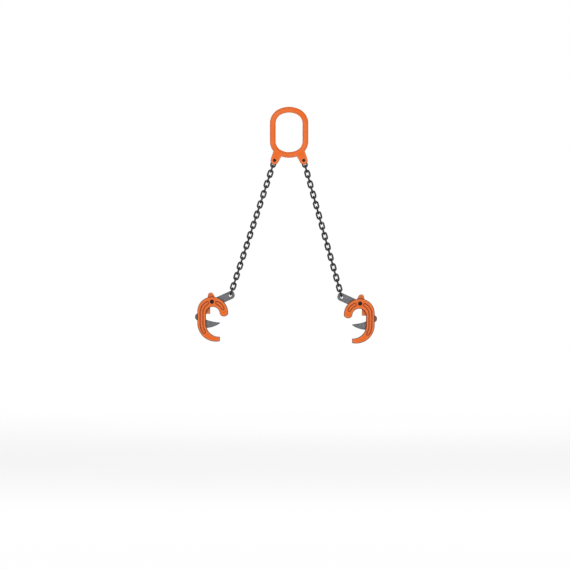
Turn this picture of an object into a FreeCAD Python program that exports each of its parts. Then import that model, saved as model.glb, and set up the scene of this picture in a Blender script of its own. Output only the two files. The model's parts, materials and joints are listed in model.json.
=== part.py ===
import FreeCAD, Part
import math
import os

V = FreeCAD.Vector

# Drum lifting clamp: two chain legs and two lever clamps under one oblong master link.
# Millimetres. X right, Y away from the viewer, Z up. The origin is where the crane hook bears.

# Chain: 8 mm round steel, 24 mm pitch
chain_bar = 8.0
chain_pitch = 24.0
chain_inner_width = 10.8
link_gap = 0.15
pairs_per_leg = 13
link_sides = 8
link_turns = 4

# Master link
master_bar = 26.0
master_sides = 16
master_inner_width = 119.7
master_inner_height = 175.7
master_corner_radius = 45.0
master_crown_radius = 80.0

# Clevis ears of the master link. The root angles are from straight down, round its lower corner.
ear_offset = 5.15
ear_drop = 37.7
ear_radius = 18.0
ear_root_high = 52.0
ear_root_low = 16.0
ear_root_depth = 1.8
ear_to_link = 0.5
ear_thickness = 25.0
ear_slot = 11.0
slot_clearance = 1.8
ear_pin_diameter = 10.0
ear_pin_head = 14.0
ear_pin_head_height = 2.0
ear_pin_proud = 1.2
ear_pin_chamfer = 0.7
lock_pin_diameter = 3.0
lock_groove = 1.3
lock_pin_inset = 1.5

# Angles at which the two legs hang, from the vertical
left_leg_angle = 18.15
right_leg_angle = 15.55

# Clamp body, drawn from its pivot: X towards the load, Z up
cheek_thickness = 12.0
body_slot = 17.0
body_top = 22.0
crown_radius = 72.0
shoulder_radius = 65.0
crown_depth = 45.0
mouth_radius = 31.0
back_straight = 52.0
limb_width = 38.0
heel_radius = 83.0
heel_inner_radius = 58.0
heel_depth = 22.0
heel_reach = 35.3
nose_drop = 12.0
cheek_bevel = 3.0
pocket_width = 15.0
pocket_depth = 3.5
pocket_draft = 2.2
back_pocket_top = 118.0
back_pocket_end = 213.0
jaw_pocket_low = 27.0
jaw_pocket_high = 66.0

# Pieces between the cheeks
spacer_inset = 1.5
heel_block_reach = 46.0
jaw_block_width = 30.0
lug_radius = 12.5
lug_height = 41.0
lug_lean = 1.8
lug_centre = -3.6
lug_foot = 32.6
lug_drop = 4.0
rim_stop_face = -8.2
rim_stop_width = 20.3
rim_stop_bottom = -54.2

# Lever
eye_x = 81.7
eye_z = 28.4
arm_slope = 24.5
arm_width = 36.0
eye_reach = 20.0
eye_corner = 13.0
eye_thickness = 9.0
eye_hole = 13.0
eye_flare = 3.5
eye_thin_length = 30.0
lever_thickness = 16.0
hub_radius = 16.0
tail_width = 26.0
bulge_level = -67.7
bulge_radius = 16.9
toe_reach = 35.3
toe_level = -92.5
toe_blunt = 4.0
toe_keel_run = 36.0
toe_keel_level = -117.0
toe_heel_bow = 12.5
toe_belly_bow = 4.3
toe_ridge_bow = -1.8
throat_run = 14.0
throat_level = -82.5
throat_top = -65.5
throat_bow = -3.2
tip_over_share = 0.85
tip_under_share = 0.5
lever_bevel = 2.0
lever_closing = 6.0
lever_opening = 28.0
stop_clearance = 0.5

# Pivot pin and what keeps it in
pivot_diameter = 14.0
head_diameter = 18.0
head_height = 3.0
pin_chamfer = 1.0
running_clearance = 0.08
fixed_clearance = 0.03
washer_diameter = 24.0
washer_thickness = 2.5
split_pin_diameter = 3.2
split_pin_leg = 7.0
split_pin_spread = 30.0
split_pin_loop = 3.4
split_pin_corners = 6
split_pin_seat = 1.5
pin_tail = 4.0

body_half = body_slot / 2 + cheek_thickness


def point(at, y=0.0):
    """A point of the XZ plane, at depth y."""
    return V(at[0], y, at[1])


def on(centre, radius, degrees):
    """The point of a circle in the XZ plane at an angle from +X towards +Z."""
    a = math.radians(degrees)
    return (centre[0] + radius * math.cos(a), centre[1] + radius * math.sin(a))


def arc(centre, radius, start, end):
    """One step of an outline: an arc from angle start to angle end."""
    return (on(centre, radius, (start + end) / 2), on(centre, radius, end))


def midway(a, b):
    return ((a[0] + b[0]) / 2, (a[1] + b[1]) / 2)


def bow(start, end, bulge):
    """One step of a counterclockwise outline: an arc that bulges outwards, or inwards if negative."""
    middle = midway(start, end)
    share = bulge / math.dist(start, end)
    through = (middle[0] + share * (end[1] - start[1]), middle[1] - share * (end[0] - start[0]))
    return (through, end)


def outline(start, *steps):
    """A closed wire in the XZ plane. A step is an end point, or a point on an arc and its end."""
    edges = []
    here = start
    for step in steps + (start,):
        through, end = step if isinstance(step[0], tuple) else (None, step)
        if math.dist(here, end) > 1e-6:
            if through:
                edges.append(Part.Arc(point(here), point(through), point(end)).toShape())
            else:
                edges.append(Part.LineSegment(point(here), point(end)).toShape())
        here = end
    return Part.Wire(edges)


def slab(wire, thickness, middle=0.0):
    """The solid between two planes across Y."""
    face = Part.Face(wire)
    face.translate(V(0, middle - thickness / 2, 0))
    return face.extrude(V(0, thickness, 0))


def disc(centre, radius, thickness, middle=0.0):
    """A round slab with its axis along Y."""
    return Part.makeCylinder(radius, thickness, point(centre, middle - thickness / 2), V(0, 1, 0))


def box(x, z, thickness):
    """A slab over the ranges x and z."""
    return Part.makeBox(x[1] - x[0], thickness, z[1] - z[0], V(x[0], -thickness / 2, z[0]))


def fused(first, *others):
    return first.fuse(list(others)).removeSplitter()


def turned(shape, degrees):
    """A copy turned about Y, from +X towards +Z."""
    copy = shape.copy()
    copy.rotate(V(0, 0, 0), V(0, -1, 0), degrees)
    return copy


def soft_slab(drawn_in, thickness, edge, middle=0.0, faces=(-1, 1)):
    """A slab with bevelled edges on the faces named. drawn_in(inset) gives its outline."""
    sections = []
    for sign in (-1, 1):
        outer = drawn_in(edge if sign in faces else 0.0)
        inner = drawn_in(0.0)
        outer.translate(V(0, middle + sign * thickness / 2, 0))
        inner.translate(V(0, middle + sign * (thickness / 2 - edge), 0))
        sections += [outer, inner] if sign < 0 else [inner, outer]
    return Part.makeLoft(sections, True, True)


def ring_section(centre, radius, sides, turn=0.5):
    """A regular polygon across a bar that runs along Z at centre, turned by a share of one side."""
    around = [math.radians(360 * (k + turn) / sides) for k in range(sides + 1)]
    return Part.makePolygon([centre + V(radius * math.cos(a), radius * math.sin(a), 0) for a in around])


def headed_pin(diameter, head_diameter, head_height, chamfer, seat, end):
    """A pin along Y. Its head bears on a face at depth seat, and its shaft ends at depth end."""
    front = seat - head_height
    head = Part.makeCylinder(head_diameter / 2, head_height, V(0, front, 0), V(0, 1, 0))
    shaft = Part.makeCylinder(diameter / 2, end - front, V(0, front, 0), V(0, 1, 0))
    pin = fused(head, shaft)
    rims = [e for e in pin.Edges if isinstance(e.Curve, Part.Circle)]
    ends = [e for e in rims if min(abs(e.CenterOfMass.y - front), abs(e.CenterOfMass.y - end)) < 0.01]
    return pin.makeChamfer(chamfer, ends)


# Chain

bar_radius = chain_bar / 2
link_crown = (chain_inner_width + chain_bar) / 2
link_length = chain_pitch + chain_bar + link_gap
first_bar = (ear_pin_diameter + chain_bar) / 2 + link_gap
second_bar = -(ear_radius + ear_to_link + bar_radius)
first_length = first_bar - second_bar + chain_bar + link_gap
eye_offset = eye_hole / 2 - bar_radius - link_gap
leg_length = 2 * (pairs_per_leg - 1) * chain_pitch + link_length + eye_offset - second_bar


def link_top(number):
    """Height of a link's upper bar below the ear pin. Only the first link is longer than the rest."""
    return first_bar if number == 0 else second_bar - (number - 1) * chain_pitch


def link_bottom(number):
    return first_bar - first_length if number == 0 else link_top(number) - link_length


def chain_link(number):
    """One welded link of a leg that hangs straight down, in the XZ plane."""
    step = 180 / link_turns
    radius = link_crown / math.cos(math.radians(step / 2))
    upper = (0.0, link_top(number) - link_crown)
    lower = (0.0, link_bottom(number) + link_crown)
    corners = [on(upper, radius, step * (k + 0.5)) for k in range(link_turns)]
    corners += [on(lower, radius, 180 + step * (k + 0.5)) for k in range(link_turns)]
    start = (link_crown, (upper[1] + lower[1]) / 2)
    path = Part.makePolygon([point(p) for p in [start] + corners + [start]])
    section = ring_section(point(start), bar_radius, link_sides)
    return path.makePipeShell([section], True, False, 1).removeSplitter()


def link_pair(pair):
    """A link that faces the viewer and the next one, which is edge on."""
    edge_on = chain_link(2 * pair + 1)
    edge_on.rotate(V(0, 0, 0), V(0, 0, 1), 90)
    return Part.makeCompound([chain_link(2 * pair), edge_on])


# Master link

bar_middle = master_corner_radius + master_bar / 2
corner_x = master_inner_width / 2 - master_corner_radius
corner_lift = math.degrees(math.acos(corner_x / (master_crown_radius - master_corner_radius)))
corner_top = -master_crown_radius + corner_x * math.tan(math.radians(corner_lift))
corner_bottom = -master_inner_height - corner_top


def bar_path():
    """Centre line of the master link's bar."""
    reach = corner_x + bar_middle
    crown_middle = master_crown_radius + master_bar / 2
    lift = corner_lift
    return outline(
        (reach, corner_top),
        arc((corner_x, corner_top), bar_middle, 0, lift),
        arc((0.0, -master_crown_radius), crown_middle, lift, 180 - lift),
        arc((-corner_x, corner_top), bar_middle, 180 - lift, 180),
        (-reach, corner_bottom),
        arc((-corner_x, corner_bottom), bar_middle, 180, 180 + lift),
        arc((0.0, -master_inner_height + master_crown_radius), crown_middle, 180 + lift, 360 - lift),
        arc((corner_x, corner_bottom), bar_middle, 360 - lift, 360),
    )


ear_signs = {"left": -1, "right": 1}
ear_x = master_inner_width / 2 + ear_offset
ears = {side: (sign * ear_x, -master_inner_height - ear_drop) for side, sign in ear_signs.items()}


def touch(centre, radius, apex, side):
    """Where a line from apex touches a circle, on its side 1 or -1."""
    dx = apex[0] - centre[0]
    dz = apex[1] - centre[1]
    spread = math.degrees(math.acos(radius / math.hypot(dx, dz)))
    return on(centre, radius, math.degrees(math.atan2(dz, dx)) + side * spread)


def ear(side):
    """One ear, from the middle of the bar to the round end about its pin."""
    sign = ear_signs[side]
    pin = ears[side]
    corner = (sign * corner_x, corner_bottom)
    root = bar_middle + master_bar / 2 - ear_root_depth
    high = 270 + sign * ear_root_high
    low = 270 + sign * ear_root_low
    outer = on(corner, root, high)
    inner = on(corner, root, low)
    plan = outline(
        on(corner, bar_middle, high),
        outer,
        touch(pin, ear_radius, outer, -sign),
        (on(pin, ear_radius, 270), touch(pin, ear_radius, inner, sign)),
        inner,
        on(corner, bar_middle, low),
        arc(corner, bar_middle, low, high),
    )
    return slab(plan, ear_thickness)


def ear_cuts(side):
    """What is cut out of an ear: the chain slot, open on its outer side, and the pins' bores."""
    pin = ears[side]
    swing = link_crown + bar_radius + slot_clearance
    inner = pin[0] - ear_signs[side] * 2 * swing
    outer = pin[0] + ear_signs[side] * 2 * swing
    lowest = pin[1] - 2 * swing
    return [
        disc(pin, swing, ear_slot),
        box(sorted((inner, outer)), (lowest, pin[1]), ear_slot),
        box(sorted((pin[0], outer)), (lowest, pin[1] + swing), ear_slot),
        disc(pin, ear_pin_diameter / 2 + fixed_clearance, 2 * ear_thickness),
        lock_pin(side, fixed_clearance, 2 * ear_radius),
    ]


def lock_pin(side, grow=0.0, reach=None):
    """The spring pin that crosses the rear half of an ear through the load pin's groove."""
    pin = ears[side]
    depth = (ear_thickness + ear_slot) / 4
    height = pin[1] + ear_pin_diameter / 2 - lock_groove + lock_pin_diameter / 2 + fixed_clearance
    half = reach or ear_radius - lock_pin_inset
    radius = lock_pin_diameter / 2 + grow
    return Part.makeCylinder(radius, 2 * half, V(pin[0] - half, depth, height), V(1, 0, 0))


def master_link():
    path = bar_path()
    section = ring_section(path.Vertexes[0].Point, master_bar / 2, master_sides, 0.0)
    ring = path.makePipeShell([section], True, True)
    body = fused(ring, ear("left"), ear("right"))
    return body.cut(ear_cuts("left") + ear_cuts("right"))


def ear_pin(side):
    """A headed load pin, grooved where its lock pin crosses it."""
    seat = ear_thickness / 2
    end = seat + ear_pin_proud
    pin = headed_pin(ear_pin_diameter, ear_pin_head, ear_pin_head_height, ear_pin_chamfer, -seat, end)
    depth = (ear_thickness + ear_slot) / 4
    width = lock_pin_diameter + 2 * fixed_clearance
    groove = disc((0.0, 0.0), ear_pin_diameter, width, depth)
    core = disc((0.0, 0.0), ear_pin_diameter / 2 - lock_groove, width, depth)
    pin = pin.cut(groove.cut(core))
    pin.translate(point(ears[side]))
    return pin


# Clamp body

back_x = -shoulder_radius
shoulder = (0.0, body_top - shoulder_radius)
crown = (0.0, body_top - crown_radius)
mouth = (back_x + limb_width + mouth_radius, body_top - crown_depth - mouth_radius)
heel = (back_x + heel_radius, shoulder[1] - back_straight)
heel_bottom = heel[1] - heel_radius
heel_inner = (back_x + limb_width + heel_inner_radius, heel_bottom + heel_depth + heel_inner_radius)


def body_outline(inset=0.0):
    """The clamp body from its jaw round the back to its heel, or that outline drawn in by inset."""
    jaw_r = crown_radius - inset
    jaw_low = math.degrees(math.asin((mouth[1] - crown[1]) / jaw_r))
    heel_r = heel_radius - inset
    heel_end = -math.degrees(math.acos((heel_reach - heel[0]) / heel_r))
    inner_r = heel_inner_radius + inset
    inner_end = -math.degrees(math.acos((heel_reach - heel_inner[0]) / inner_r))
    mouth_r = mouth_radius + inset
    jaw_outer = on(crown, jaw_r, jaw_low)
    jaw_inner = (mouth[0] + mouth_r, mouth[1])
    nose = (midway(jaw_outer, jaw_inner)[0], mouth[1] - nose_drop + inset)
    return outline(
        jaw_outer,
        arc(crown, jaw_r, jaw_low, 90),
        arc(shoulder, shoulder_radius - inset, 90, 180),
        (back_x + inset, heel[1]),
        arc(heel, heel_r, 180, 360 + heel_end),
        on(heel_inner, inner_r, inner_end),
        arc(heel_inner, inner_r, 360 + inner_end, 180),
        (mouth[0] - mouth_r, mouth[1]),
        arc(mouth, mouth_r, 180, 0),
        (nose, jaw_outer),
    )


def thick_arc(centre, radius, width, start, end):
    """A curved slot of constant width with round ends, for an end angle above its start."""
    r = width / 2
    tip = on(centre, radius, end)
    tail = on(centre, radius, start)
    return outline(
        on(centre, radius + r, start),
        arc(centre, radius + r, start, end),
        arc(tip, r, end, end + 180),
        arc(centre, radius - r, end, start),
        arc(tail, r, start + 180, start + 360),
    )


limb_top = midway(shoulder, mouth)
limb_top_radius = (shoulder_radius + mouth_radius) / 2
limb_low = midway(heel, heel_inner)
limb_low_radius = (heel_radius + heel_inner_radius) / 2
limb_x = back_x + limb_width / 2


def back_pocket(width):
    """The long pocket that follows the outer limb."""
    r = width / 2
    low_tip = on(limb_low, limb_low_radius, back_pocket_end)
    high_tip = on(limb_top, limb_top_radius, back_pocket_top)
    return outline(
        (limb_x - r, limb_top[1]),
        (limb_x - r, limb_low[1]),
        arc(limb_low, limb_low_radius + r, 180, back_pocket_end),
        arc(low_tip, r, back_pocket_end, back_pocket_end + 180),
        arc(limb_low, limb_low_radius - r, back_pocket_end, 180),
        (limb_x + r, limb_top[1]),
        arc(limb_top, limb_top_radius - r, 180, back_pocket_top),
        arc(high_tip, r, back_pocket_top - 180, back_pocket_top),
        arc(limb_top, limb_top_radius + r, back_pocket_top, 180),
    )


def jaw_pocket(width):
    """The short pocket between the pivot and the jaw."""
    centre = midway(crown, mouth)
    radius = (crown_radius + mouth_radius) / 2
    return thick_arc(centre, radius, width, jaw_pocket_low, jaw_pocket_high)


def pocket_cut(shape):
    """A pocket with drafted walls, sunk into the front face of the front cheek."""
    face = -body_half
    rim = shape(pocket_width)
    rim.translate(V(0, face, 0))
    floor = shape(pocket_width - 2 * pocket_draft)
    floor.translate(V(0, face + pocket_depth, 0))
    return Part.makeLoft([rim, floor], True, True)


def cheek(side):
    """One cheek plate of the clamp body, rounded and pocketed on its outer face."""
    middle = -(body_slot + cheek_thickness) / 2
    plate = soft_slab(body_outline, cheek_thickness, cheek_bevel, middle, (-1,))
    bore = disc((0.0, 0.0), pivot_diameter / 2 + fixed_clearance, 4 * body_half)
    plate = plate.cut([pocket_cut(back_pocket), pocket_cut(jaw_pocket), bore])
    if side == "rear":
        plate = plate.mirror(V(0, 0, 0), V(0, 1, 0))
    return plate


# Lever

tail_radius = limb_top_radius
tail_start = 85
bulge = (limb_top[0] - tail_radius - tail_width / 2, bulge_level)
eye = (eye_x, eye_z)


def along_arm(distance, across=0.0):
    """A point of the arm: distance beyond the eye's centre, across to the upper side."""
    a = math.radians(arm_slope)
    return (
        eye_x + distance * math.cos(a) - across * math.sin(a),
        eye_z + distance * math.sin(a) + across * math.cos(a),
    )


def arm_outline(inset):
    """The straight arm from the hub to the chain eye. Its end is rounded more on the lower side."""
    half = arm_width / 2
    side = half - inset
    inner = -math.hypot(eye_x, eye_z)
    upper = along_arm(eye_reach - eye_corner, half - eye_corner)
    lower = along_arm(eye_reach - half, 0.0)
    return outline(
        along_arm(inner, side),
        along_arm(inner, -side),
        along_arm(eye_reach - half, -side),
        arc(lower, side, arm_slope - 90, arm_slope),
        along_arm(eye_reach - inset, half - eye_corner),
        arc(upper, eye_corner - inset, arm_slope, arm_slope + 90),
    )


def tail_outline(inset):
    """The curved tail inside the outer limb and, below it, the toe that bears under the load's rim."""
    outer = tail_radius + tail_width / 2 - inset
    inner = tail_radius - tail_width / 2 + inset
    back = (limb_top[0] - outer, bulge_level)
    front_x = limb_top[0] - inner
    keel = (bulge[0] + toe_keel_run, toe_keel_level + inset)
    under_tip = (toe_reach - inset, toe_level - toe_blunt + tip_under_share * inset)
    tip = (toe_reach - inset, toe_level - tip_over_share * inset)
    throat = (bulge[0] + tail_width + throat_run, throat_level - inset)
    return outline(
        on(limb_top, outer, tail_start),
        arc(limb_top, outer, tail_start, 180),
        back,
        bow(back, keel, toe_heel_bow),
        bow(keel, under_tip, toe_belly_bow),
        tip,
        bow(tip, throat, toe_ridge_bow),
        bow(throat, (front_x, throat_top), throat_bow),
        (front_x, limb_top[1]),
        arc(limb_top, inner, 180, tail_start),
    )


def hub_outline(inset):
    return Part.Wire(Part.Circle(V(0, 0, 0), V(0, 1, 0), hub_radius - inset).toShape())


def bulge_outline(inset):
    return Part.Wire(Part.Circle(point(bulge), V(0, 1, 0), bulge_radius - inset).toShape())


# The overlapping shapes that make up the lever, each drawn in by an inset
lever_outlines = (arm_outline, tail_outline, hub_outline, bulge_outline)


def eye_cutter():
    """The flared hole that seats the last chain link."""
    half = eye_thickness / 2
    waist = eye_hole / 2
    rim = waist + eye_flare
    land = half - eye_flare
    profile = [(0.0, -half), (rim, -half), (waist, -land), (waist, land), (rim, half), (0.0, half)]
    corners = [V(x, y, 0) for x, y in profile + profile[:1]]
    cutter = Part.Face(Part.makePolygon(corners)).revolve(V(0, 0, 0), V(0, 1, 0), 360)
    cutter.translate(point(eye))
    return cutter


def lever():
    """The forged lever: chain eye, arm, hub, curved tail and toe in one piece."""
    blank = fused(*[soft_slab(drawn_in, lever_thickness, lever_bevel) for drawn_in in lever_outlines])
    cuts = [disc((0.0, 0.0), pivot_diameter / 2 + running_clearance, 2 * lever_thickness)]
    step = (lever_thickness - eye_thickness) / 2
    for sign in (-1, 1):
        far = 2 * eye_reach
        profile = [
            (-eye_thin_length - step, lever_thickness / 2),
            (-eye_thin_length, eye_thickness / 2),
            (far, eye_thickness / 2),
            (far, lever_thickness / 2 + step),
            (-eye_thin_length - step, lever_thickness / 2 + step),
        ]
        corners = [V(u, sign * y, -arm_width) for u, y in profile]
        wedge = Part.Face(Part.makePolygon(corners + corners[:1])).extrude(V(0, 0, 2 * arm_width))
        wedge = turned(wedge, arm_slope)
        wedge.translate(point(eye))
        cuts.append(wedge)
    cuts.append(eye_cutter())
    return blank.cut(cuts)


# Pieces between and through the cheeks

def lever_path(swing):
    """The space that the lever takes at a swing from rest, with the stops' clearance."""
    slabs = [slab(drawn_in(-stop_clearance), 2 * body_slot) for drawn_in in lever_outlines]
    return turned(fused(*slabs), swing)


def top_lug():
    """The domed lug on the crown. The lever's arm stops under it when the lever closes."""
    centre = (lug_centre - lug_lean, lug_height - lug_radius)
    foot_left = (lug_centre - lug_foot / 2, 0.0)
    foot_right = (lug_centre + lug_foot / 2, 0.0)
    left = (foot_left[0], body_top - lug_drop)
    right = (foot_right[0], body_top)
    plan = outline(
        foot_left,
        foot_right,
        right,
        touch(centre, lug_radius, right, 1),
        (on(centre, lug_radius, 90), touch(centre, lug_radius, left, -1)),
        left,
    )
    return slab(plan, body_slot).cut([lever_path(lever_closing), lever_path(-lever_opening)])


def rim_stop():
    """The block in the mouth that the load's rim meets."""
    x = (rim_stop_face - rim_stop_width, rim_stop_face)
    block = box(x, (rim_stop_bottom, 0.0), body_slot)
    return block.cut(lever_path(lever_closing))


def jaw_block():
    """The spacer in the jaw. Its sloping top stops the lever when it opens."""
    jaw = slab(body_outline(spacer_inset), body_slot)
    reach = mouth[0] + mouth_radius + spacer_inset
    jaw = jaw.common(box((reach, reach + jaw_block_width), (2 * mouth[1], 0.0), body_slot))
    return jaw.cut(lever_path(-lever_opening))


def heel_block():
    """The spacer in the heel, flush with the faces that bear on the side of the load."""
    heel_part = slab(body_outline(spacer_inset), body_slot)
    x = (heel_reach - heel_block_reach, heel_reach)
    return heel_part.common(box(x, (2 * heel_bottom, heel_inner[1]), body_slot))


def split_pin_z():
    return body_half + washer_thickness + fixed_clearance + split_pin_diameter / 2


def pivot_pin():
    """The headed pin that the lever turns on, cross-drilled at its rear end."""
    end = split_pin_z() + pin_tail
    pin = headed_pin(pivot_diameter, head_diameter, head_height, pin_chamfer, -body_half, end)
    bore = split_pin_diameter / 2 + fixed_clearance
    start = V(0, split_pin_z(), -pivot_diameter)
    return pin.cut(Part.makeCylinder(bore, 2 * pivot_diameter, start, V(0, 0, 1)))


def pin_washer():
    ring = Part.makeCylinder(washer_diameter / 2, washer_thickness, V(0, body_half, 0), V(0, 1, 0))
    bore = Part.makeCylinder(pivot_diameter / 2 + fixed_clearance, 4 * body_half, V(0, 0, 0), V(0, 1, 0))
    return ring.cut(bore)


def split_pin():
    """A split pin: its eye above the pivot pin, its two legs bent apart below."""
    r = split_pin_diameter / 2
    y = split_pin_z()
    reach = pivot_diameter / 2 + split_pin_seat
    shank = Part.makeCylinder(r, 2 * reach, V(0, y, -reach), V(0, 0, 1))
    middle = (0.0, reach + split_pin_loop)
    turn = 360 / split_pin_corners
    corners = [point(on(middle, split_pin_loop, turn * (k + 0.5)), y) for k in range(split_pin_corners)]
    start = (corners[0] + corners[-1]) * 0.5
    section = ring_section(start, r, link_sides)
    loop = Part.makePolygon([start] + corners + [start]).makePipeShell([section], True, False, 1)
    legs = []
    for sign in (-1, 1):
        a = math.radians(split_pin_spread)
        way = V(sign * math.sin(a), 0, -math.cos(a))
        legs.append(Part.makeCylinder(r / 2, split_pin_leg, V(sign * r / 2, y, -reach + r), way))
    return fused(shank, loop, *legs)


# Places

legs = {"left": left_leg_angle, "right": -right_leg_angle}


def down_leg(side, distance):
    """The point of a leg at a distance from its ear pin."""
    a = math.radians(legs[side])
    return (ears[side][0] - distance * math.sin(a), ears[side][1] - distance * math.cos(a))


def pivot(side):
    """The lever's pivot, outwards from its eye at the end of the leg."""
    at = down_leg(side, leg_length)
    sign = 1 if side == "left" else -1
    return (at[0] - sign * eye_x, at[1] - eye_z)


def place_on_leg(shape, side):
    shape.rotate(V(0, 0, 0), V(0, 1, 0), legs[side])
    shape.translate(point(ears[side]))
    return shape


def place_clamp(shape, side):
    """The right clamp is the left one's mirror image."""
    if side == "right":
        shape = shape.mirror(V(0, 0, 0), V(1, 0, 0))
    shape.translate(point(pivot(side)))
    return shape


def model():
    """Every piece, by the name of its node."""
    nodes = {"master_link": master_link()}
    for side in ("left", "right"):
        nodes[side + "_ear_pin"] = ear_pin(side)
    nodes["ear_lock_pins"] = Part.makeCompound([lock_pin("left"), lock_pin("right")])
    clamp = {
        "lever": lever(),
        "front_cheek": cheek("front"),
        "rear_cheek": cheek("rear"),
        "top_lug": top_lug(),
        "rim_stop": rim_stop(),
        "jaw_block": jaw_block(),
        "heel_block": heel_block(),
        "pivot_pin": pivot_pin(),
        "pin_washer": pin_washer(),
        "split_pin": split_pin(),
    }
    for side in ("left", "right"):
        for number in range(pairs_per_leg):
            name = "%s_chain_links_%02d" % (side, number + 1)
            nodes[name] = place_on_leg(link_pair(number), side)
        for name, shape in clamp.items():
            nodes[side + "_" + name] = place_clamp(shape.copy(), side)
    return nodes


def main():
    os.makedirs("parts", exist_ok=True)
    for name, shape in model().items():
        shape.exportStep("parts/" + name + ".step")


if __name__ == "__main__":
    main()
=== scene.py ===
import json
import math

import bmesh
import bpy
from bpy.props import FloatProperty, FloatVectorProperty, IntProperty, PointerProperty
from mathutils import Matrix, Vector


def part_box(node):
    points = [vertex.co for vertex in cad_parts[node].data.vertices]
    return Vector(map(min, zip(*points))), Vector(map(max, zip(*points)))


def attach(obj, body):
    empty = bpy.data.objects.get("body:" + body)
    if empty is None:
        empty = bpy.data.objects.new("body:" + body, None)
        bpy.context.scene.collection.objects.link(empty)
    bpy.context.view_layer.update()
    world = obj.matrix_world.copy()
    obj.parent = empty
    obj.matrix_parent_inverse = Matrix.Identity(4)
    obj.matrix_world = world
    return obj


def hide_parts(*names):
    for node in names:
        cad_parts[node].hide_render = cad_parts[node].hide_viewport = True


bl_info = {
    "name": "Drum Lifting Clamp",
    "version": (1, 0, 0),
    "blender": (4, 5, 0),
    "location": "3D View > Sidebar > Drum Clamp",
    "description": "Dresses the two-leg drum lifting clamp: forgings, round-link chain, pins and studio",
    "category": "Object",
}

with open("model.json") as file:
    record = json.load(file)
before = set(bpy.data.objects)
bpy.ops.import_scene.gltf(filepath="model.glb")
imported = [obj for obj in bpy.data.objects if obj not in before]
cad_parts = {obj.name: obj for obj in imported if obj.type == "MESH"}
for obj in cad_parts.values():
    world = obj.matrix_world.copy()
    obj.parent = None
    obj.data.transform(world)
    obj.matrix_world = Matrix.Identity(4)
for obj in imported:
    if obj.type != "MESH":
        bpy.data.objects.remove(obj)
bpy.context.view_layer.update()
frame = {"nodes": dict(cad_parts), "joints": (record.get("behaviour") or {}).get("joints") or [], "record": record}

MM = 0.001
# The two sides, each with the sign of its X
SIDES = {"left": -1, "right": 1}
# The width and height of the image in pixels
IMAGE_SIDE = 570
JOINTS = {joint["name"]: joint for joint in frame["joints"]}
BODIES = frame["record"]["behaviour"]["bodies"]


def joint_at(name):
    """Where a joint of the frame is, in metres."""
    return Vector(JOINTS[name]["pos_m"])


def linear(hex_colour):
    """An sRGB hex colour as linear RGBA."""
    channels = [int(hex_colour[i:i + 2], 16) / 255 for i in (1, 3, 5)]
    return tuple(c / 12.92 if c <= 0.04045 else ((c + 0.055) / 1.055) ** 2.4 for c in channels) + (1.0,)


# Sizes and colours


def length(name, description, millimetres):
    """A length that the sidebar shows, with its default given in millimetres."""
    default = millimetres * MM
    return FloatProperty(name=name, description=description, default=default, unit="LENGTH", precision=5)


def angle(name, description, degrees):
    """An angle that the sidebar shows, with its default given in degrees."""
    return FloatProperty(name=name, description=description, default=math.radians(degrees), subtype="ANGLE")


def colour(name, description, hex_colour):
    """A colour that the sidebar shows, with its default given in sRGB hex."""
    default = linear(hex_colour)
    return FloatVectorProperty(name=name, description=description, default=default, subtype="COLOR", size=4)


def whole_number(name, description, default, least=0):
    """A whole number that the sidebar shows."""
    return IntProperty(name=name, description=description, default=default, min=least)


def number(name, description, default):
    """A plain number that the sidebar shows."""
    return FloatProperty(name=name, description=description, default=default)


class MasterLinkSizes(bpy.types.PropertyGroup):
    """The oblong master link and its two clevis ears."""

    bar: length("Bar", "Diameter of the forged bar", 26)
    inner_width: length("Inner width", "Width of the eye inside", 119.7)
    inner_height: length("Inner height", "Height of the eye inside", 175.7)
    corner_radius: length("Corner radius", "Inner radius of the four corners", 45)
    crown_radius: length("Crown radius", "Inner radius of the top and bottom crowns", 80)
    ear_radius: length("Ear radius", "Radius of an ear round its pin", 18)
    ear_thickness: length("Ear thickness", "Thickness of an ear across its slot", 25)
    ear_slot: length("Ear slot", "Width of the slot for the first link", 11)
    root_high: angle("Root high", "Place of an ear's outer root round the bar, from straight down", 52)
    root_low: angle("Root low", "Place of an ear's inner root round the bar, from straight down", 16)
    root_depth: length("Root depth", "Depth of the ear's roots inside the bar", 1.8)
    grain: length("Grain", "Spacing of the forging's mesh", 1.0)
    blend: whole_number("Blend", "Smoothing passes that round the roots of the ears", 10)
    bore_chamfer: length("Bore chamfer", "Chamfer at the mouths of an ear's bore", 0.8)
    pin: length("Load pin", "Diameter of the load pins", 10)
    pin_head: length("Load pin head", "Diameter of a load pin's head", 14)
    pin_head_height: length("Head height", "Height of a load pin's head", 2)
    pin_chamfer: length("Pin chamfer", "Chamfer of a load pin's two ends", 0.7)
    pin_proud: length("Pin proud", "How far a load pin stands out behind its ear", 1.2)
    lock_pin: length("Lock pin", "Diameter of the cross pin that locks a load pin", 3)
    slot_clearance: length("Slot clearance", "Space round the first link in its slot", 1.8)


class ChainSizes(bpy.types.PropertyGroup):
    """The round-link chain of both legs."""

    bar: length("Bar", "Diameter of the round steel", 8)
    pitch: length("Pitch", "Inside length of a link", 24)
    inner_width: length("Inner width", "Inside width of a link", 10.8)
    play: length("Play", "Gap between links where they bear", 0.15)
    weld_height: length("Weld height", "How far the butt weld swells out of the bar", 0.45)
    weld_length: length("Weld length", "Half length of the butt weld's swelling", 2.2)
    bar_points: whole_number("Points round", "Points round the bar", 20, 6)
    crown_points: whole_number("Points along", "Points along each crown", 20, 6)


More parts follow.
